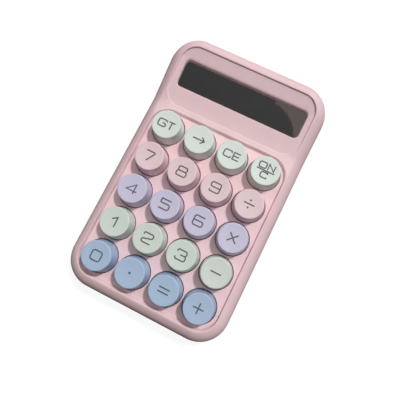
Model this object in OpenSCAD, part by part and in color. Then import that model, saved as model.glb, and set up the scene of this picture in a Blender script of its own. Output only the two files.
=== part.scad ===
// Desk calculator with twenty round keys and a raised, sloping display end.
// Origin: centre of the footprint at table level. +Y runs to the display end, +Z up.

/* [Body] */
// Width of the body
body_w = 96; // [94:0.5:97]
// Length of the body, front to display end
body_l = 154; // [152:0.5:156]
// Radius of the body's corners seen from above
corner_r = 17; // [16:0.5:18]
// Radius of the rounded sides of the upper case
edge_r = 10.8; // [10.4:0.2:11]
// Radius of the rounded bottom edge
base_edge_r = 2.5; // [1.5:0.5:3]
// Thickness of the case walls
wall = 2.2; // [2:0.1:2.4]
// Height of the parting line between the two case halves
seam_z = 7; // [6.8:0.1:7.2]

/* [Keypad] */
// Height of the key deck above the table
deck_z = 15; // [15:0.1:15.4]
// Height of the rim above the key deck
rim_h = 2; // [1.8:0.1:2.2]
// Distance between neighbouring keys
pitch = 20; // [19.8:0.1:20]
// Place of the middle row of keys, front to back
middle_row_y = -18.1; // [-18.4:0.1:-17.8]
// Radius of a key cap at the deck
cap_base_r = 9.1; // [8.8:0.1:9.2]
// Radius of a key cap's flat top
cap_top_r = 8.1; // [7.6:0.1:8.2]
// Height of a key cap's top above the deck
cap_h = 8.8; // [8.4:0.1:9.4]
// Travel of a key
travel = 3.2; // [2.8:0.1:3.2]
// Gap between a key cap and its hole in the deck
cap_gap = 0.4; // [0.35:0.05:0.5]

/* [Display] */
// Slope of the rim at the display end, in degrees
slope = 13.5; // [13:0.5:14]
// Slope of the panel around the display, in degrees
panel_slope = 11.7; // [11:0.1:12.2]
// Place of the fold where both slopes begin
fold_y = 36.2; // [36:0.1:36.4]
// Width of the window opening
window_w = 76; // [74:0.5:77]
// Length of the window opening, front to back
window_l = 16.8; // [16:0.2:17]
// Place of the window's middle
window_y = 55.3; // [55:0.1:55.5]
// Thickness of the clear window
lens_t = 1.2; // [1:0.1:1.3]

/* [Base] */
// Height of the rubber feet below the case
foot_h = 1.2; // [1:0.1:1.4]
// Radius of a rubber foot
foot_r = 5; // [4:0.5:5]
// Width of the battery door
door_w = 55.4; // [54:0.2:56]
// Distance the battery door slides to come free
door_travel = 10; // [8:1:10]

/* [Hidden] */
KEYS = [
  "gt", "arrow", "ce", "on_c",
  "7", "8", "9", "divide",
  "4", "5", "6", "multiply",
  "1", "2", "3", "minus",
  "0", "point", "equals", "plus",
];
columns = 4;
rows = 5;

round_fn = 64;
blend_fn = 48;
cut = 1; // how far a cutting shape runs past the surface it opens
gap = 0.1; // gap between pieces of one body that sit in each other
rim_z = deck_z + rim_h;
rim_tilt = 27; // slope of the rounded side where it meets the rim, in degrees
crown_h = edge_r * (1 - cos(rim_tilt)); // height of the uncut rounding above the rim
base_z = foot_h;
floor_t = 2;
floor_z = base_z + floor_t;
deck_t = 2.2;
deck_under_z = deck_z - deck_t;
shoulder_z = 10.5; // where the cavity narrows under the rounded sides
post_x = body_w / 2 - corner_r;
post_y = body_l / 2 - corner_r;
tall = 40; // more than the whole height

// Recess of the key deck and basin of the display, seen from above
recess_x = 41.3;
recess_front_y = -70.5;
recess_back_y = 32.4;
basin_x = 41.2;
basin_back_y = 70.2;
panel_corner_r = 9.5;
window_corner_r = 2.8;

// Heights of the rim and of the display panel at a place along the body
function rim_at(y) = rim_z + max(0, y - fold_y) * tan(slope);
function panel_at(y) = rim_z + max(0, y - fold_y) * tan(panel_slope);
function key_xy(i) = [
  ((i % columns) - (columns - 1) / 2) * pitch,
  middle_row_y + ((rows - 1) / 2 - floor(i / columns)) * pitch
];
skin_t = 2;
lens_top = -skin_t;
lens_w = window_w + 4;
lens_l = 19.6;
lcd_w = 70;
lcd_l = 16.6;
lcd_t = 1.6;
frame_w = 83;
frame_l = 22.4;
frame_back_t = 0.8;
lcd_top = lens_top - lens_t - gap;
frame_bottom = lcd_top - lcd_t - gap - frame_back_t;

// Main board and key switches
board_z = 4.6;
board_t = 1.6;
board_top_z = board_z + board_t;
board_x = 38;
board_front_y = -67.3;
board_back_y = 39;
housing_w = 13.8;
housing_top_z = 9.4;
turret_r = 5.6;
turret_top_z = 15.4;
plunger_r = 3;
plunger_gap = 0.3;
neck_r = 2.2;
lip_t = 0.6;
cavity_z = 7.2;
plunger_z = 11.2;
plunger_top_z = turret_top_z - lip_t - plunger_gap;
cross_w = 4;
cross_t = 1.2;
cap_wall = 1.2;
cap_top_z = deck_z + cap_h;
cap_ceiling_z = cap_top_z - 1.8;
cap_skirt_z = deck_z - 1.8;
cap_bevel = 0.7;
socket_r = 2.9;
socket_z = turret_top_z + travel + 0.6;

// Screws and their posts
case_screw_xy = [for (side = [-1, 1], place = [[38, 69.6], [41, -8.1], [20, -70.7]])
  [side * place[0], place[1]]];
case_post_r = 2.6;
case_pillar_r = 3.9;
case_screw_r = 1.25;
case_head_r = 2.3;
case_head_z = base_z + 1.2;
case_seat_z = base_z + 3.2;
case_screw_top_z = 12.2;
board_screw_xy = [for (x = [-20, 20], y = [-48.1, 11.9]) [x, y]];
board_post_r = 2.4;
board_screw_r = 0.85;
board_head_r = 1.8;
board_head_t = 1;
board_screw_top_z = 11.4;
screw_gap = 0.05;
board_pad_xy = [[0, -8.1], [-34, 31], [34, 31], [-34, -65], [34, -65]];

// Battery, lying across the display end
battery_r = 5.25;
battery_y = 62.5;
battery_z = 8.6;
battery_half = 21.6;
nub_r = 1.9;
nub_l = 0.8;
trough_r = 5.6;
trough_t = 1;
trough_x = 25.6;
contact_x = 24.3;
contact_t = 0.4;
tab_z = 7;
tab_t = 0.4;
tab_w = 2.4;
tab_x = 28;
wire_r = 0.6;
wire_x = 27.2;
wire_z = tab_z + tab_t + wire_r;
wire_front_y = 37;
door_front_y = 49.6;
door_gap = 0.3;
door_t = 1.8;
door_top_z = seam_z - 1.4;
tongue_t = 0.9;
tongue_w = 1.8;
tongue_l = 3.4;
tongue_z = floor_z + 0.25;
rail_z = tongue_z + tongue_t + 0.25;
rail_t = 1.2;
rail_x = door_w / 2 + tongue_w + door_gap;
rail_l = 20;

foot_xy = [for (x = [-36, 36], y = [-63, 62]) [x, y]];
foot_sink = 0.8;

// A rounded rectangle between two corners, drawn flat
module rounded_area(low, high, r) {
  translate([low[0] + r, low[1]]) square([high[0] - low[0] - 2 * r, high[1] - low[1]]);
  translate([low[0], low[1] + r]) square([high[0] - low[0], high[1] - low[1] - 2 * r]);
  for (x = [low[0] + r, high[0] - r], y = [low[1] + r, high[1] - r])
    translate([x, y]) circle(r, $fn = round_fn);
}

// The body's outline seen from above, drawn in from its edge by an inset
module outline(inset) {
  corner = [body_w / 2 - inset, body_l / 2 - inset];
  rounded_area(-corner, corner, corner_r - inset);
}

// A ring that rounds the edge of a corner post
module edge_ring(edge) {
  rotate_extrude($fn = blend_fn) intersection() {
    translate([corner_r - edge, 0]) circle(edge, $fn = blend_fn);
    translate([0, -edge]) square([corner_r, 2 * edge]);
  }
}

// The region above or below a line of points in Y and Z, as wide as the body
module side_profile(points) {
  rotate([90, 0, 90]) linear_extrude(body_w + 2 * cut, center = true) polygon(points);
}

// Puts its children on the panel plane of the display, level with a place along the body
module on_panel(y) {
  translate([0, y, panel_at(y)]) rotate([panel_slope, 0, 0]) children();
}

module block(size, top) {
  translate([-size[0] / 2, -size[1] / 2, top - size[2]]) cube(size);
}

// Outer form of the upper case: round-sided blocks cut off at the seam and at the rim
module upper_form() {
  intersection() {
    upper_blocks();
    side_profile([
      [-body_l, seam_z], [-body_l, rim_z], [fold_y, rim_z], [body_l, rim_at(body_l)],
      [body_l, seam_z]
    ]);
  }
}

// A flat slab, and the same slab sheared upward to the display end
module upper_blocks() {
  rise = tan(slope);
  round_slab();
  multmatrix([[1, 0, 0, 0], [0, 1, 0, 0], [0, rise, 1, -fold_y * rise], [0, 0, 0, 1]])
    round_slab();
}

// Its rounded top stands above the rim, where the upper form is cut off
module round_slab() {
  hull() for (x = [-post_x, post_x], y = [-post_y, post_y]) translate([x, y, 0]) {
    translate([0, 0, -edge_r]) cylinder(r = corner_r, h = cut, $fn = blend_fn);
    translate([0, 0, rim_z + crown_h - edge_r]) edge_ring(edge_r);
  }
}

module upper_cavity() {
  translate([0, 0, seam_z - cut]) linear_extrude(shoulder_z - seam_z + cut) outline(wall);
  translate([0, 0, seam_z]) linear_extrude(deck_under_z - seam_z) outline(wall + 1);
  intersection() {
    translate([0, 0, seam_z]) linear_extrude(tall) outline(wall + 2);
    skin_drop = skin_t / cos(panel_slope);
    side_profile([
      [recess_back_y + wall, seam_z - cut / 2], [recess_back_y + wall, rim_z - skin_drop],
      [fold_y, rim_z - skin_drop], [body_l / 2, panel_at(body_l / 2) - skin_drop],
      [body_l / 2, seam_z - cut / 2]
    ]);
  }
}

module deck_recess() {
  translate([0, 0, deck_z]) linear_extrude(tall)
    rounded_area([-recess_x, recess_front_y], [recess_x, recess_back_y], panel_corner_r);
}

module display_basin() {
  intersection() {
    translate([0, 0, deck_z]) linear_extrude(tall)
      rounded_area([-basin_x, fold_y - cut], [basin_x, basin_back_y], panel_corner_r);
    side_profile([
      [fold_y, rim_z], [fold_y, tall], [body_l / 2, tall], [body_l / 2, panel_at(body_l / 2)]
    ]);
  }
}

module window_opening() {
  half = [window_w / 2, window_l / 2];
  translate([0, window_y, deck_under_z]) linear_extrude(tall)
    rounded_area(-half, half, window_corner_r);
}

module top_case() {
  color("#e3bcc2") difference() {
    union() {
      difference() {
        upper_form();
        upper_cavity();
        deck_recess();
        display_basin();
        window_opening();
      }
      for (xy = case_screw_xy) translate([xy[0], xy[1], seam_z])
        cylinder(r = case_post_r, h = deck_under_z - seam_z + cut, $fn = round_fn);
      for (xy = board_screw_xy) translate([xy[0], xy[1], board_top_z])
        cylinder(r = board_post_r, h = deck_under_z - board_top_z + cut, $fn = round_fn);
    }
    for (i = [0:len(KEYS) - 1]) translate([key_xy(i)[0], key_xy(i)[1], deck_under_z - cut])
      cylinder(r = cap_base_r + cap_gap, h = deck_t + 2 * cut, $fn = round_fn);
    for (xy = case_screw_xy) translate([xy[0], xy[1], seam_z - cut])
      cylinder(r = case_screw_r + screw_gap, h = case_screw_top_z - seam_z + 1.3, $fn = round_fn);
    for (xy = board_screw_xy) translate([xy[0], xy[1], board_top_z - cut])
      cylinder(r = board_screw_r + screw_gap, h = board_screw_top_z - board_top_z + 1.3,
        $fn = round_fn);
  }
}

// Outer form of the lower case, with a rounded bottom edge
module lower_form() {
  hull() for (x = [-post_x, post_x], y = [-post_y, post_y]) translate([x, y, 0]) {
    translate([0, 0, base_z + base_edge_r]) edge_ring(base_edge_r);
    translate([0, 0, seam_z - cut]) cylinder(r = corner_r, h = cut, $fn = blend_fn);
  }
}

module lower_shell() {
  difference() {
    lower_form();
    translate([0, 0, floor_z]) linear_extrude(tall) outline(wall);
  }
}

// The opening that the battery door closes, in the floor and the back wall
module door_opening(grow) {
  half = door_w / 2 + grow;
  front = door_front_y - grow;
  translate([-half, front, base_z - cut])
    cube([2 * half, body_l / 2 - front + cut, floor_t + cut + grow]);
  translate([-half, body_l / 2 - wall - grow, base_z - cut])
    cube([2 * half, wall + grow + cut, door_top_z - base_z + cut + grow]);
}

// Locating lip that stands inside the upper case's wall
module seam_lip() {
  translate([0, 0, seam_z - cut]) linear_extrude(2.4) difference() {
    outline(wall + gap);
    outline(wall + 1.1);
  }
}

module battery_trough() {
  translate([0, battery_y, battery_z]) rotate([0, 90, 0]) difference() {
    union() {
      cylinder(r = trough_r + trough_t, h = 2 * trough_x, center = true, $fn = round_fn);
      translate([0, -trough_r - trough_t, -trough_x])
        cube([battery_z - floor_z, 2 * (trough_r + trough_t), 2 * trough_x]);
    }
    cylinder(r = trough_r, h = 2 * (contact_x + gap), center = true, $fn = round_fn);
    translate([0, -trough_r, -contact_x - gap])
      cube([battery_z, 2 * trough_r, 2 * (contact_x + gap)]);
    translate([battery_z - tab_z - tab_t - gap, -tab_w / 2 - gap, -trough_x - cut])
      cube([tab_t + 2 * gap, tab_w + 2 * gap, 2 * (trough_x + cut)]);
    translate([battery_z - floor_z - gap, -tall / 2, -trough_x - cut])
      cube([tall, tall, 2 * (trough_x + cut)]);
  }
}

// Channels that guide the door's tongues and carry the battery trough
module door_rails() {
  for (side = [0, 1]) mirror([side, 0, 0]) translate([0, door_front_y + 0.6, 0]) {
    translate([trough_x - 0.8, 0, rail_z]) cube([rail_x + rail_t - trough_x + 0.8, rail_l, rail_t]);
    translate([rail_x, 0, floor_z - cut / 2])
      cube([rail_t, rail_l, rail_z + rail_t - floor_z + cut / 2]);
  }
}

module bottom_case() {
  color("#d9b2b8") difference() {
    union() {
      difference() {
        lower_shell();
        door_opening(door_gap);
      }
      difference() {
        seam_lip();
        for (xy = case_screw_xy) translate([xy[0], xy[1], seam_z])
          cylinder(r = case_post_r + 0.4, h = 3, $fn = round_fn);
      }
      for (xy = case_screw_xy) translate([xy[0], xy[1], base_z + cut / 2])
        cylinder(r = case_pillar_r, h = seam_z - base_z - cut / 2, $fn = round_fn);
      for (xy = board_pad_xy) translate([xy[0], xy[1], base_z + cut])
        cylinder(r = 2, h = board_z - base_z - cut, $fn = round_fn);
      battery_trough();
      door_rails();
    }
    for (xy = case_screw_xy) translate([xy[0], xy[1], base_z - cut]) {
      cylinder(r = case_head_r + 0.3, h = case_seat_z - base_z + cut, $fn = round_fn);
      cylinder(r = case_screw_r + screw_gap, h = seam_z, $fn = round_fn);
    }
    for (xy = foot_xy) translate([xy[0], xy[1], base_z - cut])
      cylinder(r = foot_r + gap, h = cut + foot_sink, $fn = round_fn);
  }
}

// Sliding door: a floor plate, a lip in the back wall, tongues and finger grooves
module battery_door() {
  color("#d9b2b8") difference() {
    union() {
      intersection() {
        difference() {
          lower_form();
          translate([-body_w, 0, base_z + door_t])
            cube([2 * body_w, body_l / 2 - wall, tall]);
        }
        translate([-door_w / 2, door_front_y, 0])
          cube([door_w, body_l, door_top_z]);
      }
      for (side = [0, 1], y = [door_front_y + 1, door_front_y + 9]) mirror([side, 0, 0]) {
        translate([door_w / 2 - 1.6, y, base_z + cut])
          cube([1.6, tongue_l, tongue_z + tongue_t - base_z - cut]);
        translate([door_w / 2 - 1, y, tongue_z]) cube([tongue_w + 1, tongue_l, tongue_t]);
      }
    }
    for (y = [66, 68.5, 71]) translate([-9, y, base_z - cut]) cube([18, 1, cut + 0.6]);
  }
}

module display_window() {
  color([0.12, 0.12, 0.13, 0.55]) on_panel(window_y)
    block([lens_w, lens_l, lens_t], lens_top);
}

module lcd_glass() {
  color("#4a5048") on_panel(window_y) block([lcd_w, lcd_l, lcd_t], lcd_top);
}

// Tray that holds the window's border and the display glass against the upper case
module lcd_frame() {
  color("#2b2b2d") on_panel(window_y) difference() {
    block([frame_w, frame_l, lens_top - frame_bottom], lens_top);
    block([lens_w + 2 * gap, lens_l + 2 * gap, lens_t + gap + cut], lens_top + cut);
    block([lcd_w + 2 * gap, lcd_l + 2 * gap, lcd_t + 2 * gap + cut], lcd_top + cut);
  }
}

// Flat cable from the front edge of the display tray down to the main board
module ribbon_cable() {
  t = 0.3;
  end = [window_y - frame_l / 2 * cos(panel_slope) - frame_bottom * sin(panel_slope),
    panel_at(window_y) - frame_l / 2 * sin(panel_slope) + frame_bottom * cos(panel_slope)];
  path = [end + [1.5, 1.5 * tan(panel_slope) - 0.05], end - [0.6, 0.4], [42.4, 10.6],
    [40.6, 8.4], [38.8, 7.7], [36.2, 7.7]];
  color("#c98b3c") rotate([90, 0, 90]) linear_extrude(24, center = true)
    polygon(concat(path, [for (i = [len(path) - 1:-1:0]) [path[i][0], path[i][1] - t]]));
}

module main_board() {
  color("#2f6b45") difference() {
    translate([-board_x, board_front_y, board_z])
      cube([2 * board_x, board_back_y - board_front_y, board_t]);
    for (xy = board_screw_xy) translate([xy[0], xy[1], board_z - cut])
      cylinder(r = board_screw_r + 0.25, h = board_t + 2 * cut, $fn = round_fn);
    for (xy = case_screw_xy) translate([xy[0], xy[1], board_z - cut])
      cylinder(r = case_pillar_r + 0.3, h = board_t + 2 * cut, $fn = round_fn);
  }
}

module controller_chip() {
  color("#1d1d20") translate([-20, 34.4, board_top_z]) {
    translate([-3.5, -3.5, 0.2]) cube([7, 7, 1.2]);
    for (turn = [0:90:270], i = [-2:2]) rotate([0, 0, turn])
      translate([i * 1.2 - 0.25, 3.4, 0]) cube([0.5, 1, 0.5]);
  }
}

// Cable connector, crystal and small parts along the board's back edge
module board_components() {
  color("#d8d2c4") translate([0, 0, board_top_z]) {
    difference() {
      translate([-13, 34.4, 0]) cube([26, 3.6, 2]);
      translate([-12.2, 36, 1.1]) cube([24.4, 4, 0.5]);
    }
    translate([20, 35.6, 1]) rotate([0, 90, 0]) cylinder(r = 1, h = 6, $fn = round_fn);
    for (i = [0:3]) translate([19 + i * 3.4, 31.6, 0]) cube([1.8, 1, 0.7]);
    for (i = [0:3]) translate([-35 + i * 2.8, 33.4, 0]) cube([1, 1.8, 0.7]);
  }
}

module switch_housing() {
  difference() {
    union() {
      translate([-housing_w / 2, -housing_w / 2, board_top_z])
        cube([housing_w, housing_w, housing_top_z - board_top_z]);
      translate([0, 0, housing_top_z - cut]) rotate([0, 0, 22.5])
        cylinder(r = turret_r, h = turret_top_z - housing_top_z + cut, $fn = 8);
    }
    translate([0, 0, cavity_z]) cylinder(r = plunger_r + plunger_gap,
      h = turret_top_z - lip_t - cavity_z, $fn = round_fn);
    translate([0, 0, cavity_z]) cylinder(r = neck_r + plunger_gap, h = tall, $fn = round_fn);
  }
}

module switch_housings() {
  color("#3a3a3d") for (i = [0:len(KEYS) - 1])
    translate([key_xy(i)[0], key_xy(i)[1], 0]) switch_housing();
}

module board_screws() {
  color("#b9bcc0") for (xy = board_screw_xy) translate([xy[0], xy[1], 0]) {
    translate([0, 0, board_z - board_head_t])
      cylinder(r = board_head_r, h = board_head_t, $fn = round_fn);
    translate([0, 0, board_z - board_head_t])
      cylinder(r = board_screw_r, h = board_screw_top_z - board_z + board_head_t,
        $fn = round_fn);
  }
}

module case_screws() {
  color("#b9bcc0") for (xy = case_screw_xy) translate([xy[0], xy[1], 0]) difference() {
    union() {
      translate([0, 0, case_head_z])
        cylinder(r = case_head_r, h = case_seat_z - case_head_z, $fn = round_fn);
      translate([0, 0, case_head_z])
        cylinder(r = case_screw_r, h = case_screw_top_z - case_head_z, $fn = round_fn);
    }
    for (turn = [0, 90]) rotate([0, 0, turn])
      translate([-1.4, -0.35, case_head_z - cut]) cube([2.8, 0.7, cut + 0.9]);
  }
}

module rubber_feet() {
  color("#4a4648") for (xy = foot_xy) translate([xy[0], xy[1], 0])
    cylinder(r = foot_r, h = foot_h + foot_sink, $fn = round_fn);
}

module battery() {
  color("#3f7d58") translate([0, battery_y, battery_z]) rotate([0, 90, 0]) {
    translate([0, 0, -battery_half])
      cylinder(r = battery_r, h = 2 * battery_half, $fn = round_fn);
    cylinder(r = nub_r, h = battery_half + nub_l, $fn = round_fn);
  }
}

// Sprung plates at the two ends of the battery
module contact_plate() {
  translate([contact_x - contact_t, battery_y - 4, battery_z - 4]) cube([contact_t, 8, 8]);
  translate([contact_x - contact_t, battery_y - tab_w / 2, tab_z])
    cube([tab_x - contact_x + contact_t, tab_w, tab_t]);
}

module positive_contact() {
  color("#c9ccd0") {
    contact_plate();
    translate([battery_half + nub_l, battery_y, battery_z]) rotate([0, 90, 0])
      cylinder(r = 1.5, h = contact_x - battery_half - nub_l, $fn = round_fn);
  }
}

module negative_contact() {
  turn_r = 0.4;
  color("#c9ccd0") mirror([1, 0, 0]) {
    contact_plate();
    for (i = [0:3])
      translate([battery_half + gap / 2 + turn_r + i * 0.6, battery_y, battery_z])
        rotate([0, 90, 0]) rotate_extrude($fn = round_fn)
          translate([2 + i * 0.4, 0]) circle(turn_r, $fn = 16);
  }
}

// Two wires from the battery contacts to the main board
module battery_leads() {
  color("#b03a34") for (side = [-1, 1]) translate([side * wire_x, wire_front_y, 0]) {
    translate([0, 0, wire_z]) rotate([-90, 0, 0])
      cylinder(r = wire_r, h = battery_y - wire_front_y, $fn = 16);
    translate([0, 0, board_top_z]) cylinder(r = wire_r, h = wire_z - board_top_z, $fn = 16);
    translate([0, 0, wire_z]) sphere(wire_r, $fn = 16);
  }
}

module keycap(i) {
  color(cap_color(i)) translate([key_xy(i)[0], key_xy(i)[1], 0]) {
    rotate_extrude($fn = round_fn) polygon([
      [0, cap_ceiling_z], [cap_top_r - cap_wall, cap_ceiling_z], [cap_base_r - cap_wall, deck_z],
      [cap_base_r - cap_wall, cap_skirt_z], [cap_base_r, cap_skirt_z], [cap_base_r, deck_z],
      [cap_top_r, cap_top_z - cap_bevel], [cap_top_r - cap_bevel, cap_top_z], [0, cap_top_z]
    ]);
    difference() {
      translate([0, 0, socket_z]) cylinder(r = socket_r, h = cap_ceiling_z - socket_z + 0.5,
        $fn = round_fn);
      translate([0, 0, socket_z - cut]) cross(gap / 2, cap_ceiling_z - socket_z + cut);
    }
  }
}

// Cross that joins a cap to its stem
module cross(grow, h) {
  for (size = [[cross_w, cross_t], [cross_t, cross_w]])
    translate([-size[0] / 2 - grow, -size[1] / 2 - grow, 0])
      cube([size[0] + 2 * grow, size[1] + 2 * grow, h]);
}

module stem(i) {
  color("#7fb4d6") translate([key_xy(i)[0], key_xy(i)[1], 0]) {
    translate([0, 0, plunger_z])
      cylinder(r = plunger_r, h = plunger_top_z - plunger_z, $fn = round_fn);
    translate([0, 0, plunger_z])
      cylinder(r = neck_r, h = socket_z - 0.2 - plunger_z, $fn = round_fn);
    translate([0, 0, plunger_z]) cross(0, cap_ceiling_z - gap - plunger_z);
  }
}

// Colour of a row of caps, from the display end to the front
function cap_color(i) = ["#e1ebe4", "#e2c8cd", "#c8c3dc", "#cdd7d0", "#a5bcd4"][floor(i / columns)];

top_case();
bottom_case();
battery_door();
display_window();
lcd_glass();
lcd_frame();
ribbon_cable();
main_board();
controller_chip();
board_components();
switch_housings();
board_screws();
case_screws();
rubber_feet();
battery();
positive_contact();
negative_contact();
battery_leads();
for (i = [0:len(KEYS) - 1]) {
  keycap(i);
  stem(i);
}
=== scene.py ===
"""The looks of the desk calculator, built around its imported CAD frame.

The mesh code works in millimetres, in the frame of the CAD model, and is scaled to metres
when a piece is finished.
"""

import math

import bmesh
import bpy
from mathutils import Matrix, Vector
from mathutils.geometry import delaunay_2d_cdt


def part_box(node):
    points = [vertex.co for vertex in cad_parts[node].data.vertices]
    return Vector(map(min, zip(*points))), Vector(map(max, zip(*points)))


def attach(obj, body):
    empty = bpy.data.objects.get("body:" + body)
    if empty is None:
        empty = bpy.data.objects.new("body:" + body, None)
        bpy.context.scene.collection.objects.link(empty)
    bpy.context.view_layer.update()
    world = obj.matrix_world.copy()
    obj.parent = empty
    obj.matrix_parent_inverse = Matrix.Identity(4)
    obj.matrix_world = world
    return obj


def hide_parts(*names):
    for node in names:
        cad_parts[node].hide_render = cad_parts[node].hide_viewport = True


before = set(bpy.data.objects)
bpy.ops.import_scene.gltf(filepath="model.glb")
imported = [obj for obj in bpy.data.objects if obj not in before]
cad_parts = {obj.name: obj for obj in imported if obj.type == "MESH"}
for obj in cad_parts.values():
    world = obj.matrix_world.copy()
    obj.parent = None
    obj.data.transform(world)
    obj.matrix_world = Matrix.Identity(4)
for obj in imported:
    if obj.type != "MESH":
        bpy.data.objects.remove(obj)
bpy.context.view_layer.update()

MM = 0.001

# Keys, from the display end to the front, and the finish of each row of caps
KEYS = [
    ["gt", "arrow", "ce", "on_c"],
    ["7", "8", "9", "divide"],
    ["4", "5", "6", "multiply"],
    ["1", "2", "3", "minus"],
    ["0", "point", "equals", "plus"],
]
CAP_SLOTS = ["cap_mint", "cap_rose", "cap_lilac", "cap_sage", "cap_blue"]

# Kind of triangulation that leaves out what lies outside the loops
INSIDE_LOOPS = 1

# Sizes of the upper case that the CAD boxes don't give, in mm
CORNER_R = 17.0
SIDE_IN = 11.8
SIDE_DOWN = 9.0
RIM_IN = 5.9
WALL = 2.2
SEAM_Z = 7.0
SEAM_CHAMFER = 0.25
DECK_Z = 15.0
DECK_UNDER_Z = 12.8
RIM_Z = 17.0
FOLD_Y = 36.2
FOLD_SOFT = 2.0
RIM_SLOPE = math.tan(math.radians(13.5))
PANEL_SLOPE = math.tan(math.radians(11.7))
PANEL_DROP = 0.2
STEEPER_Y = 63.5
STEEPER_BY = 0.1
SHOULDER_Z = 10.5
SHOULDER_IN = 2.0
SKIN = 2.04
HOLE_R = 9.5
HOLE_ROUND = 0.3
HOLE_SEGMENTS = 64
CORNER_STEPS = 20
SIDE_STEPS = 14

# Points along x and along y between the corners of each outline
BODY_POINTS = (14, 40)
RECESS_POINTS = (20, 26)
BASIN_POINTS = (20, 8)
WINDOW_POINTS = (20, 5)

# Distance from an outline at which a point counts as clear of it, in mm
CLEAR = 0.005

# Where the underside steps up from below the deck to below the display panel, in mm
UNDER_STEP_Y = 34.2
UNDER_STEP_RUN = 2

# Grid of points on the panel and its underside, and how far it keeps off outlines, in mm
GRID_STEP = 3.0
GRID_OFF_BASIN = 1.2
GRID_OFF_EDGE = 1
GRID_FROM_Y = 32.5

# Keycap profile, in mm
CAP_BASE_R = 9.1
CAP_TOP_R = 8.1
CAP_WALL = 1.2
CAP_ROUND = 0.55
CAP_DISH = 0.25
CAP_DISH_R = 7.3
CAP_CHAMFER = 0.15
CAP_ROUND_OUT = 0.03
CAP_ROUND_STEPS = 6
CAP_CEILING = 1.8
CAP_SEGMENTS = 96
CAP_TOP_RINGS = (7.5, 7.4, 7.3, 7.0, 6.2, 5.0, 3.6, 2.2, 1.0)

# Side the soft light comes from, and its strength there and on the far side, as a range
SOFT_SIDE = (0.1, 0.5, 0.86)
SOFT_RANGE = (0.3, 1.08, 0.03, 0.9)

# Arc-shaped panel overhead, in metres and degrees
CARD_CENTRE = (-0.055, -0.042)
CARD_R = 0.1435
CARD_WIDTH = 0.25
CARD_FROM = -30
CARD_TO = 86
CARD_Z = 1.3
CARD_GLOW = 2.0
CARD_STEPS = 40

# Floor: half its side in metres, its grey and its own glow
FLOOR_REACH = 3.0
FLOOR_GREY = 0.12
FLOOR_GLOW = 0.9

# Printed legends, in mm
INK_WIDTH = 0.72
INK_ABOVE = 0.03
INK_BELOW = 0.12
INK_ARC_STEPS = 6


# ---------------------------------------------------------------- mesh helpers

def millimetres(node):
    """Lowest and highest corner of a CAD node in mm."""
    low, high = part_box(node)
    return low / MM, high / MM


def finish_piece(bm, name, body, material, replaced=(), flat=()):
    """Turns a bmesh in mm into a named piece that rides on a body. Only flat has flat shading."""
    for face in bm.faces:
        face.smooth = True
    for face in flat:
        face.smooth = False
    bmesh.ops.recalc_face_normals(bm, faces=bm.faces[:])
    bmesh.ops.scale(bm, vec=(MM, MM, MM), verts=bm.verts[:])
    mesh = bpy.data.meshes.new(name)
    bm.to_mesh(mesh)
    bm.free()
    mesh.materials.append(material)
    piece = bpy.data.objects.new(name, mesh)
    bpy.context.scene.collection.objects.link(piece)
    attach(piece, body)
    if replaced:
        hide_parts(*replaced)
    return piece


def weight_normals(piece, sharp_degrees=50):
    """Keeps flat faces flat in shading beside their rounded edges."""
    piece.data.set_sharp_from_angle(angle=math.radians(sharp_degrees))
    modifier = piece.modifiers.new("weighted_normals", "WEIGHTED_NORMAL")
    modifier.keep_sharp = True
    modifier.weight = 80


def strip(bm, lower, upper):
    """Joins two closed rows of vertices with quads."""
    count = len(lower)
    for i in range(count):
        j = (i + 1) % count
        bm.faces.new((lower[i], lower[j], upper[j], upper[i]))


def ring(bm, points):
    return [bm.verts.new(p) for p in points]


def tower(bm, first, rows):
    """Stacks closed rows of points on a first row of vertices and returns the last row."""
    for points in rows:
        row = ring(bm, points)
        strip(bm, first, row)
        first = row
    return first


def fill(bm, loops, keep, spots=()):
    """Triangulates inside the first of some closed rows of vertices, seen from above.

    keep tells for a point whether it is clear of the holes."""
    verts = [v for loop in loops for v in loop] + list(spots)
    edges = []
    start = 0
    for loop in loops:
        count = len(loop)
        edges += [(start + i, start + (i + 1) % count) for i in range(count)]
        start += count
    flat = [v.co.xy for v in verts]
    points, _, faces, origin, _, _ = delaunay_2d_cdt(flat, edges, [], INSIDE_LOOPS, 1e-5)
    made = []
    for face in faces:
        middle = sum((points[i] for i in face), Vector((0, 0))) / len(face)
        if keep(middle):
            made.append(bm.faces.new([verts[origin[i][0]] for i in face]))
    return made


# ---------------------------------------------------------------- outlines

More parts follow.
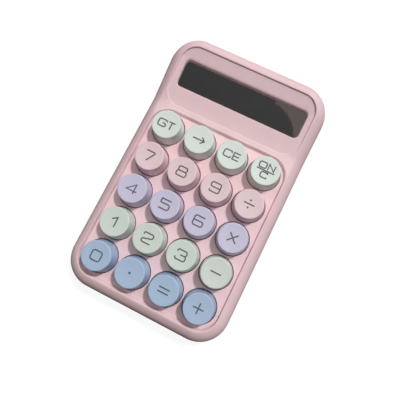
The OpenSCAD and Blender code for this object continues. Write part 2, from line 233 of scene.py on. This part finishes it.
class Rounded:
    """A rounded rectangle seen from above, centred on x = 0."""

    def __init__(self, half_x, low_y, high_y, r):
        self.half_x, self.low_y, self.high_y, self.r = half_x, low_y, high_y, r

    def moved(self, out):
        """The same shape grown outward."""
        return Rounded(self.half_x + out, self.low_y - out, self.high_y + out, self.r + out)

    def between(self, other, share):
        """The shape part of the way to another one."""
        def mix(a, b):
            return a + (b - a) * share

        return Rounded(mix(self.half_x, other.half_x), mix(self.low_y, other.low_y),
                       mix(self.high_y, other.high_y), mix(self.r, other.r))

    def distance(self, p):
        """Distance outside the outline, negative inside."""
        middle = (self.low_y + self.high_y) / 2
        dx = abs(p[0]) - self.half_x + self.r
        dy = abs(p[1] - middle) - (self.high_y - self.low_y) / 2 + self.r
        return math.hypot(max(dx, 0), max(dy, 0)) + min(max(dx, dy), 0) - self.r

    def samples(self, steps, side_points):
        """Points and outward normals around it, anticlockwise from the right side's foot.

        side_points is (how many along x, how many along y) between the corners."""
        centres = [(self.half_x - self.r, self.high_y - self.r, 0),
                   (-self.half_x + self.r, self.high_y - self.r, 90),
                   (-self.half_x + self.r, self.low_y + self.r, 180),
                   (self.half_x - self.r, self.low_y + self.r, 270)]
        found = []
        for corner, (x, y, start) in enumerate(centres):
            for i in range(steps + 1):
                turn = math.radians(start + 90 * i / steps)
                n = Vector((math.cos(turn), math.sin(turn)))
                found.append((Vector((x, y)) + n * self.r, n))
            after_x, after_y, after_start = centres[(corner + 1) % 4]
            turn = math.radians(after_start)
            n = Vector((math.cos(turn), math.sin(turn)))
            here, there = found[-1][0], Vector((after_x, after_y)) + n * self.r
            count = side_points[corner % 2]
            for i in range(1, count):
                found.append((here.lerp(there, i / count), n))
        return found


def circle(x, y, r, count=HOLE_SEGMENTS):
    turns = [2 * math.pi * i / count for i in range(count)]
    return [Vector((x + r * math.cos(t), y + r * math.sin(t))) for t in turns]


def at_height(points, height):
    """Lifts flat points to a height, which is a number or a function of y."""
    return [(p[0], p[1], height(p[1]) if callable(height) else height) for p in points]


# ---------------------------------------------------------------- upper case

def eased_fold(run, slope, soft):
    """Rise after a fold: none before it, straight after it, eased over a soft length."""
    if run <= -soft:
        return 0.0
    if run >= soft:
        return run * slope
    return (run + soft) ** 2 / (4 * soft) * slope


def rim_at(y):
    return RIM_Z + eased_fold(y - FOLD_Y, RIM_SLOPE, FOLD_SOFT)


def panel_at(y):
    """Height of the display panel, which steepens behind the window."""
    back = eased_fold(y - STEEPER_Y, STEEPER_BY, FOLD_SOFT)
    return RIM_Z - PANEL_DROP + eased_fold(y - FOLD_Y, PANEL_SLOPE, FOLD_SOFT) + back


def under_at(y):
    """Underside of the upper case: below the deck, then below the display panel."""
    share = min(max((y - UNDER_STEP_Y) / UNDER_STEP_RUN, 0), 1)
    return DECK_UNDER_Z + (panel_at(y) - SKIN - DECK_UNDER_Z) * share * share * (3 - 2 * share)


RECESS_FOOT = Rounded(41.2, -68.7, 31.9, 10.2)
RECESS_LIP = Rounded(41.95, -70.5, 33.4, 11.2)
# Section of the recess wall: share of its run, share of its height
RECESS_SECTION = [(0, 0), (0.06, 0.02), (0.16, 0.1), (0.42, 0.45), (0.66, 0.8), (0.78, 0.92),
                  (0.89, 0.985), (1, 1)]
BASIN = Rounded(41.2, 36.2, 70.2, 9.5)
# Section of the step round the display panel: distance outward in mm, share of its height
STEP_SECTION = [(-0.3, 0), (-0.18, 0.03), (-0.1, 0.2), (-0.04, 0.6), (0.04, 0.88),
                (0.15, 0.98), (0.3, 1)]
WINDOW = Rounded(38.3, 46.5, 63.8, 3.2)
WINDOW_FOOT = Rounded(37.5, 47.1, 61.9, 2.4)
# Section of the window opening: share of the way to its foot, drop in mm
WINDOW_SECTION = [(0, 0), (0.2, 0.05), (0.45, 0.2), (0.6, 0.4), (0.75, 0.8), (1, SKIN)]


def side_column(point, normal):
    """The rounded side over one point of the outline, from the seam's wall up to the rim."""
    rim_turn = math.acos(1 - RIM_IN / SIDE_IN)
    column = []
    for i in range(SIDE_STEPS + 1):
        turn = rim_turn * i / SIDE_STEPS
        flat = point - normal * SIDE_IN * (1 - math.cos(turn))
        drop = SIDE_DOWN * (math.sin(rim_turn) - math.sin(turn))
        column.append((flat.x, flat.y, rim_at(flat.y) - drop))
    return column


def body_outline():
    low, high = millimetres("bottom_case")
    return Rounded(high.x, low.y, high.y, CORNER_R)


def grid_spots(bm, keep, height):
    """Vertices on a square grid where keep allows them."""
    low, high = millimetres("bottom_case")
    spots = []
    for i in range(int(low.x / GRID_STEP), int(high.x / GRID_STEP) + 1):
        for j in range(int(low.y / GRID_STEP), int(high.y / GRID_STEP) + 1):
            p = Vector((i * GRID_STEP, j * GRID_STEP))
            if keep(p):
                spots.append(bm.verts.new((p.x, p.y, height(p.y))))
    return spots


def outer_skin(bm, outline):
    """Seam, wall and rolled edge. Returns the seam's inner row and the rim's row."""
    around = outline.samples(CORNER_STEPS, BODY_POINTS)
    columns = [side_column(p, n) for p, n in around]
    inner = outline.moved(-WALL).samples(CORNER_STEPS, BODY_POINTS)
    seam_inner = ring(bm, at_height([p for p, _ in inner], SEAM_Z))
    rows = [at_height([p - n * SEAM_CHAMFER for p, n in around], SEAM_Z),
            at_height([p for p, _ in around], SEAM_Z + SEAM_CHAMFER)]
    rows += [[column[i] for column in columns] for i in range(len(columns[0]))]
    return seam_inner, tower(bm, seam_inner, rows)


def concentric(bm, shapes, heights, side_points):
    """Rows of vertices along nested outlines, joined with quads. Returns first and last."""
    flat = [[p for p, _ in shape.samples(CORNER_STEPS, side_points)] for shape in shapes]
    first = ring(bm, at_height(flat[0], heights[0]))
    rows = [at_height(points, height) for points, height in zip(flat[1:], heights[1:])]
    return first, tower(bm, first, rows)


def recess_wall(bm):
    shapes = [RECESS_FOOT.between(RECESS_LIP, run) for run, _ in RECESS_SECTION]
    heights = [lambda y, s=share: DECK_Z + (rim_at(y) - DECK_Z) * s
               for _, share in RECESS_SECTION]
    return concentric(bm, shapes, heights, RECESS_POINTS)


def basin_step(bm):
    shapes = [BASIN.moved(out) for out, _ in STEP_SECTION]
    heights = [lambda y, s=share: panel_at(y) + (rim_at(y) - panel_at(y)) * s
               for _, share in STEP_SECTION]
    return concentric(bm, shapes, heights, BASIN_POINTS)


def window_wall(bm):
    shapes = [WINDOW.between(WINDOW_FOOT, share) for share, _ in WINDOW_SECTION]
    heights = [lambda y, d=drop: panel_at(y) - d for _, drop in WINDOW_SECTION]
    return concentric(bm, shapes, heights, WINDOW_POINTS)


def key_hole(bm, x, y):
    """A key's hole with a softened rim. Returns its row on the deck and on the underside."""
    lip = HOLE_ROUND
    top = ring(bm, at_height(circle(x, y, HOLE_R + lip), DECK_Z))
    rows = [at_height(circle(x, y, HOLE_R + lip * (1 - math.sin(t))),
                      DECK_Z - lip * (1 - math.cos(t))) for t in (0.5, 1.0, math.pi / 2)]
    rows.append(at_height(circle(x, y, HOLE_R), DECK_UNDER_Z))
    return top, tower(bm, top, rows)


def build_top_case(material):
    bm = bmesh.new()
    outline = body_outline()
    seam_inner, rim_row = outer_skin(bm, outline)
    recess_foot, recess_lip = recess_wall(bm)
    basin_foot, basin_lip = basin_step(bm)
    window_lip, window_foot = window_wall(bm)
    places = [cap_centre(key) for row in KEYS for key in row]
    holes = [key_hole(bm, x, y) for x, y in places]

    def off_holes(r):
        reach = r * math.cos(math.pi / HOLE_SEGMENTS)
        return lambda p: min(math.hypot(p[0] - x, p[1] - y) for x, y in places) > reach

    basin_edge = BASIN.moved(STEP_SECTION[-1][0])
    fill(bm, [rim_row, recess_lip, basin_lip],
         lambda p: min(RECESS_LIP.distance(p), basin_edge.distance(p)) > CLEAR)
    deck = fill(bm, [recess_foot] + [top for top, _ in holes], off_holes(HOLE_R + HOLE_ROUND))
    spots = grid_spots(bm, lambda p: BASIN.distance(p) < -GRID_OFF_BASIN
                       and WINDOW.distance(p) > GRID_OFF_EDGE, panel_at)
    fill(bm, [basin_foot, window_lip], lambda p: WINDOW.distance(p) > CLEAR, spots)

    wall_line = [p for p, _ in outline.moved(-WALL).samples(CORNER_STEPS, BODY_POINTS)]
    inside = outline.moved(-WALL - SHOULDER_IN)
    ceiling_line = [p for p, _ in inside.samples(CORNER_STEPS, BODY_POINTS)]
    ceiling = tower(bm, seam_inner, [at_height(wall_line, SHOULDER_Z),
                                     at_height(ceiling_line, under_at)])
    spots = grid_spots(bm, lambda p: inside.distance(p) < -GRID_OFF_EDGE and p[1] > GRID_FROM_Y
                       and WINDOW_FOOT.distance(p) > GRID_OFF_EDGE, under_at)
    off_feet = off_holes(HOLE_R)
    fill(bm, [ceiling, window_foot] + [foot for _, foot in holes],
         lambda p: WINDOW_FOOT.distance(p) > CLEAR and off_feet(p), spots)
    piece = finish_piece(bm, "case_top", "case", material, ["top_case"], deck)
    weight_normals(piece)


# ---------------------------------------------------------------- keycaps

def cap_centre(key):
    low, high = millimetres("keycap_" + key)
    return (low.x + high.x) / 2, (low.y + high.y) / 2


def cap_top_drop(r):
    """How far a cap's dished top lies below its highest ring, at a distance from its middle."""
    return CAP_DISH * (1 - min(r / CAP_DISH_R, 1) ** 2)


def cap_section(foot_z, top_z):
    """Half section of a cap as (radius, height): outside from the skirt up, then inside."""
    lean = math.atan2(CAP_BASE_R - CAP_TOP_R, top_z - DECK_Z)
    section = [(CAP_BASE_R - CAP_CHAMFER, foot_z), (CAP_BASE_R, foot_z + CAP_CHAMFER),
               (CAP_BASE_R, DECK_Z)]
    for share in (0.12, 0.5, 0.88):
        section.append((CAP_BASE_R + (CAP_TOP_R - CAP_BASE_R) * share,
                        DECK_Z + (top_z - DECK_Z) * share))
    centre_r, centre_z = CAP_TOP_R - CAP_ROUND + CAP_ROUND_OUT, top_z - CAP_ROUND
    for i in range(CAP_ROUND_STEPS + 1):
        turn = lean + (math.pi / 2 - lean) * i / CAP_ROUND_STEPS
        section.append((centre_r + CAP_ROUND * math.cos(turn),
                        centre_z + CAP_ROUND * math.sin(turn)))
    for r in CAP_TOP_RINGS:
        section.append((r, top_z - cap_top_drop(r)))
    return section


def build_keycap(key, material):
    bm = bmesh.new()
    x, y = cap_centre(key)
    low, high = millimetres("keycap_" + key)
    outside = [at_height(circle(x, y, r, CAP_SEGMENTS), z)
               for r, z in cap_section(low.z, high.z)]
    inside_z = high.z - CAP_CEILING
    inside = [(CAP_BASE_R - CAP_WALL, low.z), (CAP_BASE_R - CAP_WALL, DECK_Z),
              (CAP_TOP_R - CAP_WALL, inside_z)]
    first = ring(bm, at_height(circle(x, y, inside[-1][0], CAP_SEGMENTS), inside_z))
    rows = [at_height(circle(x, y, r, CAP_SEGMENTS), z) for r, z in reversed(inside[:-1])]
    last = tower(bm, first, rows + outside)
    for row, z in ((first, inside_z), (last, high.z - CAP_DISH)):
        middle = bm.verts.new((x, y, z))
        for i in range(len(row)):
            bm.faces.new((row[i], row[(i + 1) % len(row)], middle))
    piece = finish_piece(bm, "cap_" + key, "key_" + key, material, ["keycap_" + key])
    weight_normals(piece, 60)


# ---------------------------------------------------------------- legends

def rounded_path(points, closed, r):
    """A path whose corners are replaced with arcs."""
    points = [Vector(p) for p in points]
    count = len(points)
    path = []
    for i, corner in enumerate(points):
        if not closed and i in (0, count - 1):
            path.append(corner)
            continue
        before, after = points[i - 1], points[(i + 1) % count]
        a, b = (before - corner).normalized(), (after - corner).normalized()
        half = a.angle(b) / 2
        cut = min(r / math.tan(half), (before - corner).length * 0.49,
                  (after - corner).length * 0.49)
        radius = cut * math.tan(half)
        if radius < INK_WIDTH * 0.6:
            path.append(corner)
            continue
        centre = corner + (a + b).normalized() * (radius / math.sin(half))
        start, end = corner + a * cut - centre, corner + b * cut - centre
        sweep = start.angle_signed(end)
        for k in range(INK_ARC_STEPS + 1):
            path.append(centre + Matrix.Rotation(-sweep * k / INK_ARC_STEPS, 2) @ start)
    return path


def ribbon(path, closed, width):
    """Quads of one width along a path."""
    count = len(path)
    sides = []
    for i, p in enumerate(path):
        back = path[i - 1] if closed or i > 0 else None
        ahead = path[(i + 1) % count] if closed or i < count - 1 else None
        into = (p - back).normalized() if back else (ahead - p).normalized()
        out = (ahead - p).normalized() if ahead else into
        along = (into + out).normalized()
        across = Vector((-along.y, along.x)) * (width / 2 / max(along.dot(out), 0.5))
        sides.append((p - across, p + across))
    pairs = range(count) if closed else range(count - 1)
    return [[sides[i][0], sides[(i + 1) % count][0], sides[(i + 1) % count][1], sides[i][1]]
            for i in pairs]


def stroke(*points, closed=False, r=1.0):
    return ribbon(rounded_path(points, closed, r), closed, INK_WIDTH)


def dot(x, y, r):
    return [circle(x, y, r, 20)]


def moved(quads, x, y, scale=1.0):
    return [[p * scale + Vector((x, y)) for p in quad] for quad in quads]


# Half width and half height of a digit, in mm
GW = 2.75
GH = 2.65


def letter_c(w, h):
    return stroke((w, h * 0.5), (w, h), (-w, h), (-w, -h), (w, -h), (w, -h * 0.5), r=1.1)


def letter_g(w, h):
    return stroke((w, h * 0.55), (w, h), (-w, h), (-w, -h), (w, -h), (w, -h * 0.02),
                  (0.2, -h * 0.02), r=0.9)


def legends():
    """Strokes of every legend in mm, about the middle of its cap."""
    w, h = GW, GH
    box = [(-w, -h), (w, -h), (w, h), (-w, h)]
    return {
        "gt": moved(letter_g(2.25, 2.0), -2.4, 0)
        + stroke((0.85, 2.0), (4.75, 2.0)) + stroke((2.8, 2.0), (2.8, -2.3)),
        "arrow": stroke((-3.5, 0), (3.1, 0)) + stroke((1.4, 1.9), (3.4, 0), (1.4, -1.9), r=0.1),
        "ce": moved(letter_c(2.1, 1.95), -2.45, 0)
        + stroke((4.6, 1.95), (0.95, 1.95), (0.95, -1.95), (4.6, -1.95), r=0.1)
        + stroke((0.95, 0), (4.3, 0)),
        "on_c": moved(stroke((-2, -1.6), (2, -1.6), (2, 1.6), (-2, 1.6), closed=True, r=0.9),
                      -2.45, 2.55)
        + stroke((0.8, 0.75), (0.8, 4.3), (4.2, 0.95), (4.2, 4.35), r=0.1)
        + stroke((-5.1, 0), (5.1, 0))
        + moved(letter_c(1.8, 1.55), 0, -2.5),
        "7": stroke((-w, h), (w, h), (-0.7, -h - 0.3), r=0.5),
        "8": stroke((-w + 0.3, 0.15), (w - 0.3, 0.15), (w - 0.3, h), (-w + 0.3, h), closed=True)
        + stroke((-w, -h), (w, -h), (w, 0.15), (-w, 0.15), closed=True),
        "9": stroke((w, 0), (-w, 0), (-w, h), (w, h), (w, -h), (-w + 0.2, -h), (-w + 0.2, -1.7)),
        "divide": stroke((-3.1, 0), (3.1, 0)) + dot(0, 2.1, 0.55) + dot(0, -2.1, 0.55),
        "4": stroke((w - 1.2, -h - 0.1), (w - 1.2, h), (-w - 0.2, -1.2), (w + 0.4, -1.2), r=0.2),
        "5": stroke((w, h), (-w, h), (-w, 0.3), r=0.1)
        + stroke((-w, 0.42), (w, 0.42), (w, -h), (-w - 0.1, -h), r=1.1),
        "6": stroke((w, h), (-w, h), (-w, -h), (w, -h), (w, 0.1), (-w, 0.1)),
        "multiply": stroke((-2.4, -2.4), (2.4, 2.4)) + stroke((-2.4, 2.4), (2.4, -2.4)),
        "1": stroke((-1.9, 0.9), (0.9, h), (0.9, -h - 0.2), r=0.2),
        "2": stroke((-w, 1.4), (-w, h), (w, h), (w, 0.5), (-w, -0.9), (-w, -h), (w, -h), r=1.0),
        "3": stroke((-w, 1.4), (-w, h), (w - 0.2, h), (w - 0.2, 0.1), (-0.6, 0.1))
        + stroke((-0.6, 0.1), (w, 0.1), (w, -h), (-w, -h), (-w, -1.4)),
        "minus": stroke((-3.0, 0), (3.0, 0)),
        "0": stroke(*box, closed=True, r=1.3),
        "point": dot(0, 0, 0.65),
        "equals": stroke((-3.1, 1.15), (3.1, 1.15)) + stroke((-3.1, -1.15), (3.1, -1.15)),
        "plus": stroke((-3.0, 0), (3.0, 0)) + stroke((0, -3.0), (0, 3.0)),
    }


def build_legend(key, quads, material):
    """A thin closed layer of ink that follows the cap's dished top."""
    corners, faces = [], []
    for quad in quads:
        faces.append(list(range(len(corners), len(corners) + len(quad))))
        corners += quad
    points, _, triangles, _, _, covered = delaunay_2d_cdt(corners, [], faces, 0, 1e-5)
    triangles = [t for t, owners in zip(triangles, covered) if owners]
    x, y = cap_centre(key)
    top_z = millimetres("keycap_" + key)[1].z
    bm = bmesh.new()
    layers = []
    for lift in (INK_ABOVE, -INK_BELOW):
        layers.append([bm.verts.new((p.x + x, p.y + y, top_z - cap_top_drop(p.length) + lift))
                       for p in points])
    edges = {}
    for a, b, c in triangles:
        bm.faces.new((layers[0][a], layers[0][b], layers[0][c]))
        bm.faces.new((layers[1][c], layers[1][b], layers[1][a]))
        for pair in ((a, b), (b, c), (c, a)):
            edges[pair] = True
    for a, b in edges:
        if (b, a) not in edges:
            bm.faces.new((layers[1][a], layers[1][b], layers[0][b], layers[0][a]))
    loose = [v for v in bm.verts if not v.link_faces]
    bmesh.ops.delete(bm, geom=loose, context="VERTS")
    piece = finish_piece(bm, "legend_" + key, "key_" + key, material)
    piece.data.set_sharp_from_angle(angle=math.radians(40))


# ---------------------------------------------------------------- materials

def add_node(tree, kind, place, **values):
    node = tree.nodes.new(kind)
    node.location = place
    for name, value in values.items():
        setattr(node, name, value)
    return node


def noise(tree, coordinates, size_mm, detail, place):
    """Noise with features of a size in mm."""
    node = add_node(tree, "ShaderNodeTexNoise", place)
    node.inputs["Scale"].default_value = 1 / (size_mm * MM)
    node.inputs["Detail"].default_value = detail
    tree.links.new(coordinates, node.inputs["Vector"])
    return node.outputs["Fac"]


def ranged(tree, value, low, high, place):
    """A noise value spread over a range."""
    node = add_node(tree, "ShaderNodeMapRange", place)
    node.inputs["From Min"].default_value = 0.3
    node.inputs["From Max"].default_value = 0.7
    node.inputs["To Min"].default_value = low
    node.inputs["To Max"].default_value = high
    tree.links.new(value, node.inputs["Value"])
    return node.outputs["Result"]


def surface(name, colour, rough, spread=0.06, mottle=0.05, mottle_mm=9.0, grain_mm=0.35,
            bump=0.12, metal=0.0, specular=0.5, coat=0.0, scratch_mm=0.0):
    """A finish with drifting tone, uneven gloss and a fine moulded or worked grain."""
    made = bpy.data.materials.new(name)
    made.use_nodes = True
    tree = made.node_tree
    shader = tree.nodes["Principled BSDF"]
    shader.inputs["Metallic"].default_value = metal
    shader.inputs["Specular IOR Level"].default_value = specular
    shader.inputs["Coat Weight"].default_value = coat
    shader.inputs["Coat Roughness"].default_value = 0.12
    coordinates = add_node(tree, "ShaderNodeTexCoord", (-1100, 0)).outputs["Object"]

    tone = ranged(tree, noise(tree, coordinates, mottle_mm, 3, (-900, 300)), 0, 1, (-700, 300))
    mix = add_node(tree, "ShaderNodeMix", (-450, 300), data_type="RGBA")
    mix.inputs["A"].default_value = (*[c * (1 - mottle) for c in colour], 1)
    mix.inputs["B"].default_value = (*[min(c * (1 + mottle), 1) for c in colour], 1)
    tree.links.new(tone, mix.inputs["Factor"])
    tree.links.new(mix.outputs["Result"], shader.inputs["Base Color"])

    gloss = noise(tree, coordinates, grain_mm * 8, 4, (-900, 0))
    tree.links.new(ranged(tree, gloss, rough - spread, rough + spread, (-450, 0)),
                   shader.inputs["Roughness"])

    stretched = coordinates
    if scratch_mm:
        mapping = add_node(tree, "ShaderNodeMapping", (-1000, -350))
        mapping.inputs["Scale"].default_value = (grain_mm / scratch_mm, 1, 1)
        tree.links.new(coordinates, mapping.inputs["Vector"])
        stretched = mapping.outputs["Vector"]
    grain = noise(tree, stretched, grain_mm, 2, (-700, -300))
    relief = add_node(tree, "ShaderNodeBump", (-250, -300))
    relief.inputs["Strength"].default_value = bump
    relief.inputs["Distance"].default_value = grain_mm * MM * 0.2
    tree.links.new(grain, relief.inputs["Height"])
    tree.links.new(relief.outputs["Normal"], shader.inputs["Normal"])
    return made


def make_materials():
    """One finish for each of the record's material slots."""
    pink = (0.83, 0.598, 0.622)
    return {
        "case_pink": surface("case_pink", pink, 0.5, bump=0.16, mottle=0.018, specular=0.4),
        "case_pink_lower": surface("case_pink_lower", (0.80, 0.57, 0.59), 0.55, bump=0.25,
                                   mottle=0.02, specular=0.4),
        "window_tint": surface("window_tint", (0.012, 0.011, 0.011), 0.03, spread=0.01,
                               mottle=0.2, grain_mm=1.5, bump=0.01, specular=0.6),
        "lcd": surface("lcd", (0.12, 0.14, 0.11), 0.25, mottle=0.06),
        "frame_black": surface("frame_black", (0.02, 0.02, 0.022), 0.5, bump=0.2),
        "flex_amber": surface("flex_amber", (0.52, 0.25, 0.05), 0.3, grain_mm=1.0, coat=0.4),
        "board_green": surface("board_green", (0.03, 0.17, 0.07), 0.32, mottle=0.25,
                               mottle_mm=2.0, coat=0.5),
        "chip_black": surface("chip_black", (0.016, 0.016, 0.018), 0.45, grain_mm=0.15),
        "component_ivory": surface("component_ivory", (0.68, 0.62, 0.48), 0.45),
        "switch_grey": surface("switch_grey", (0.05, 0.05, 0.055), 0.42, bump=0.2),
        "screw_steel": surface("screw_steel", (0.56, 0.57, 0.58), 0.28, metal=1.0,
                               scratch_mm=3.0, grain_mm=0.12, bump=0.3),
        "foot_rubber": surface("foot_rubber", (0.07, 0.065, 0.068), 0.85, grain_mm=0.5,
                               bump=0.5, mottle=0.12, specular=0.25),
        "battery_jacket": surface("battery_jacket", (0.05, 0.22, 0.10), 0.3, coat=0.3),
        "contact_plate": surface("contact_plate", (0.66, 0.66, 0.65), 0.22, metal=1.0,
                                 scratch_mm=2.0, grain_mm=0.1, bump=0.2),
        "lead_red": surface("lead_red", (0.45, 0.035, 0.03), 0.4, grain_mm=0.4),
        "stem_blue": surface("stem_blue", (0.2, 0.45, 0.66), 0.35),
        "cap_mint": cap_finish("cap_mint", (0.70, 0.77, 0.715)),
        "cap_rose": cap_finish("cap_rose", (0.77, 0.59, 0.62)),
        "cap_lilac": cap_finish("cap_lilac", (0.58, 0.55, 0.71)),
        "cap_sage": cap_finish("cap_sage", (0.62, 0.69, 0.63)),
        "cap_blue": cap_finish("cap_blue", (0.38, 0.50, 0.67)),
        "legend_ink": surface("legend_ink", (0.085, 0.10, 0.10), 0.55, grain_mm=0.2,
                              mottle=0.12, mottle_mm=0.8, bump=0.3),
    }


def cap_finish(name, colour):
    return surface(name, colour, 0.42, spread=0.05, mottle=0.015, mottle_mm=5.0, grain_mm=0.3,
                   bump=0.12, specular=0.45)


# ---------------------------------------------------------------- stage

def make_camera():
    """The photograph's viewpoint: nearly above the keys, turned to the left."""
    data = bpy.data.cameras.new("camera")
    data.lens, data.sensor_width = 32.4, 36
    data.shift_x, data.shift_y = -0.02505, 0.00875
    data.clip_start, data.clip_end = 0.01, 20
    right = Vector((0.89495, 0.44516, -0.02996))
    up = Vector((-0.43628, 0.88720, 0.15015))
    camera = bpy.data.objects.new("camera", data)
    camera.matrix_world = Matrix.Translation((0.02912, -0.03020, 0.21217)) @ Matrix(
        (right, up, right.cross(up))).transposed().to_4x4()
    bpy.context.scene.collection.objects.link(camera)
    bpy.context.scene.camera = camera


def make_sun(name, strength, spread_degrees, direction):
    data = bpy.data.lights.new(name, "SUN")
    data.energy = strength
    data.angle = math.radians(spread_degrees)
    sun = bpy.data.objects.new(name, data)
    sun.rotation_euler = Vector(direction).to_track_quat("Z", "Y").to_euler()
    bpy.context.scene.collection.objects.link(sun)


def make_world():
    """Soft studio light, brightest above the far side. The camera sees it white."""
    world = bpy.data.worlds.new("studio")
    bpy.context.scene.world = world
    world.use_nodes = True
    tree = world.node_tree
    output = tree.nodes["World Output"]
    light = tree.nodes["Background"]
    direction = add_node(tree, "ShaderNodeTexCoord", (-900, 0)).outputs["Generated"]
    facing = add_node(tree, "ShaderNodeVectorMath", (-700, 0), operation="DOT_PRODUCT")
    facing.inputs[1].default_value = Vector(SOFT_SIDE).normalized()
    tree.links.new(direction, facing.inputs[0])
    ramp = add_node(tree, "ShaderNodeMapRange", (-500, 0), interpolation_type="SMOOTHSTEP")
    for socket, value in zip(("From Min", "From Max", "To Min", "To Max"), SOFT_RANGE):
        ramp.inputs[socket].default_value = value
    tree.links.new(facing.outputs["Value"], ramp.inputs["Value"])
    tree.links.new(ramp.outputs["Result"], light.inputs["Strength"])
    light.inputs["Color"].default_value = (1.0, 0.985, 0.98, 1)
    seen = add_node(tree, "ShaderNodeBackground", (-200, -200))
    seen.inputs["Color"].default_value = (1, 1, 1, 1)
    path = add_node(tree, "ShaderNodeLightPath", (-200, 300))
    choice = add_node(tree, "ShaderNodeMixShader", (0, 0))
    tree.links.new(path.outputs["Is Camera Ray"], choice.inputs[0])
    tree.links.new(light.outputs["Background"], choice.inputs[1])
    tree.links.new(seen.outputs["Background"], choice.inputs[2])
    tree.links.new(choice.outputs["Shader"], output.inputs["Surface"])


def stage_sheet(name, points, material):
    mesh = bpy.data.meshes.new(name)
    mesh.from_pydata(points, [], [list(range(len(points)))])
    mesh.materials.append(material)
    piece = bpy.data.objects.new(name, mesh)
    bpy.context.scene.collection.objects.link(piece)
    return piece


def make_floor():
    """A plain pale floor that takes only a faint shadow and doesn't tint the object."""
    pale = surface("floor_pale", (FLOOR_GREY,) * 3, 0.9, mottle=0.01, mottle_mm=80, grain_mm=2,
                   bump=0.02)
    shader = pale.node_tree.nodes["Principled BSDF"]
    shader.inputs["Emission Color"].default_value = (1, 1, 1, 1)
    shader.inputs["Emission Strength"].default_value = FLOOR_GLOW
    reach = FLOOR_REACH
    floor = stage_sheet("floor", [(-reach, -reach, 0), (reach, -reach, 0), (reach, reach, 0),
                                  (-reach, reach, 0)], pale)
    floor.visible_diffuse = False
    floor.visible_glossy = False


def make_overhead_card():
    """A bright arc-shaped panel overhead, seen only in reflections, the window's above all."""
    glow = bpy.data.materials.new("card_glow")
    glow.use_nodes = True
    shader = glow.node_tree.nodes["Principled BSDF"]
    shader.inputs["Base Color"].default_value = (0, 0, 0, 1)
    shader.inputs["Emission Color"].default_value = (1.0, 0.84, 0.82, 1)
    shader.inputs["Emission Strength"].default_value = CARD_GLOW
    x, y = CARD_CENTRE
    points = []
    for r, order in ((CARD_R, 1), (CARD_R + CARD_WIDTH, -1)):
        turns = [math.radians(CARD_FROM + (CARD_TO - CARD_FROM) * i / CARD_STEPS)
                 for i in range(CARD_STEPS + 1)]
        points += [(x + r * math.cos(t), y + r * math.sin(t), CARD_Z) for t in turns[::order]]
    card = stage_sheet("overhead_card", points, glow)
    card.visible_camera = False
    card.visible_diffuse = False
    card.visible_shadow = False


# ---------------------------------------------------------------- assembly

def dress_frame(materials):
    """Gives every CAD node that stays in view the finish of its slot."""
    for name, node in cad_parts.items():
        slot = node.material_slots[0].material.name.split(".")[0]
        if slot in materials:
            node.material_slots[0].material = materials[slot]


def main():
    bpy.context.scene.view_settings.view_transform = "Standard"
    make_camera()
    make_world()
    make_sun("key", 1.9, 5, (0.23, 0.5, 0.835))
    make_floor()
    make_overhead_card()
    materials = make_materials()
    dress_frame(materials)
    build_top_case(materials["case_pink"])
    drawn = legends()
    for slot, row in zip(CAP_SLOTS, KEYS):
        for key in row:
            build_keycap(key, materials[slot])
            build_legend(key, drawn[key], materials["legend_ink"])


main()
